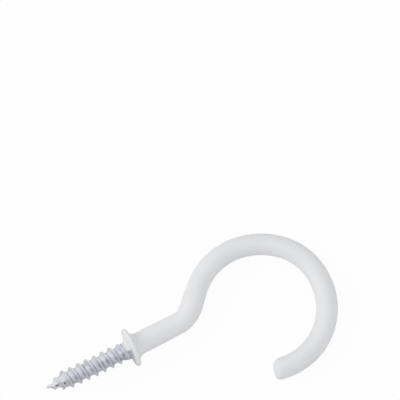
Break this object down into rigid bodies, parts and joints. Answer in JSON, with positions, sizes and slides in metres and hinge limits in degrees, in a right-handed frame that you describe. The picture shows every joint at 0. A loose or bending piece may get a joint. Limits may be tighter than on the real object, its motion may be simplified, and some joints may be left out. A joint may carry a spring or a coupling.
{
  "type": "screw hook",
  "caption": "Shouldered screw hook: a gimlet-pointed wood screw, a round collar and an open bow bent from steel wire, with a white vinyl coating from the collar to the blunt tip.",
  "frame": {"origin": "centre of the collar's seat, the flat ring that stops against the wood, on the screw's axis", "axes": "+X runs from the seat along the shank, so the screw points along -X; the wire is bent in the XY plane, first towards +Y and then round through -Y, where the mouth opens; +Z is square to that plane and up as the hook lies flat"},
  "size_m": [0.0547, 0.0277, 0.0072],
  "materials": {
    "zinc_plated_steel": "satin",
    "white_vinyl": "satin"
  },
  "bodies": {
    "root": {"steel_hook": "zinc_plated_steel", "vinyl_coating": "white_vinyl"}
  },
  "joints": []
}
